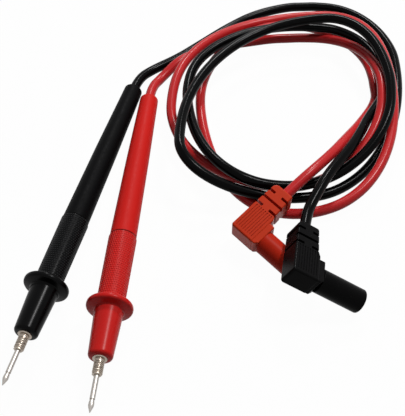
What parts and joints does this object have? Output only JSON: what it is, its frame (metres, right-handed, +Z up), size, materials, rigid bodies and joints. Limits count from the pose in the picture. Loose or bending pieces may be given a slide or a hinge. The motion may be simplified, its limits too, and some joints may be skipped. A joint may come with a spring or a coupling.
{
  "type": "test lead pair",
  "caption": "Black and red test leads: needle probes with finger guards, coiled flexible cables and right-angle shrouded spring-contact plugs.",
  "frame": {"origin": "on the table, under the middle of the box round the two probes", "axes": "+Z up from the table; +Y away from the camera, from the needles towards the probes' cable ends; +X to the right in the picture, towards the coils and plugs"},
  "size_m": [0.1691, 0.2341, 0.0248],
  "materials": {
    "needle_steel": "polished nickel-plated steel",
    "rod_nickel": "nickel-plated brass, satin",
    "copper": "bare copper strand",
    "pin_nickel": "nickel-plated brass, bright",
    "spring_nickel": "nickel-plated spring bronze",
    "black_grip": "glossy moulded plastic with a knurled grip",
    "black_barrel": "smooth glossy plastic",
    "black_cable": "satin silicone rubber",
    "black_moulding": "soft moulded plastic, satin",
    "black_shroud": "smooth plastic",
    "red_grip": "satin moulded plastic with a knurled grip",
    "red_barrel": "smooth satin plastic",
    "red_cable": "satin silicone rubber",
    "red_moulding": "soft moulded plastic, satin",
    "red_shroud": "smooth plastic"
  },
  "bodies": {
    "leads": {"black_needle": "needle_steel", "black_contact_rod": "rod_nickel", "black_front_grip": "black_grip", "black_rear_barrel": "black_barrel", "black_probe_wire": "black_cable", "black_probe_core": "copper", "black_lead_probe_end": "black_cable", "black_lead_coil": "black_cable", "black_lead_plug_end": "black_cable", "black_plug_body": "black_moulding", "black_plug_shroud": "black_shroud", "black_plug_pin": "pin_nickel", "black_plug_wire": "black_cable", "black_plug_core": "copper", "red_needle": "needle_steel", "red_contact_rod": "rod_nickel", "red_front_grip": "red_grip", "red_rear_barrel": "red_barrel", "red_probe_wire": "red_cable", "red_probe_core": "copper", "red_lead_probe_end": "red_cable", "red_lead_coil": "red_cable", "red_lead_plug_end": "red_cable", "red_plug_body": "red_moulding", "red_plug_shroud": "red_shroud", "red_plug_pin": "pin_nickel", "red_plug_wire": "red_cable", "red_plug_core": "copper"},
    "black_cage": {"black_contact_cage": "spring_nickel"},
    "red_cage": {"red_contact_cage": "spring_nickel"}
  },
  "joints": [
    {"name": "black_cage_spin", "type": "hinge", "parent": "leads", "child": "black_cage", "pos_m": [0.09942, -0.03307, 0.00926], "axis": [0.861, -0.1956, -0.4695], "continuous": true},
    {"name": "red_cage_spin", "type": "hinge", "parent": "leads", "child": "red_cage", "pos_m": [0.07838, -0.01537, 0.00644], "axis": [0.7089, -0.6918, -0.1374], "continuous": true}
  ]
}
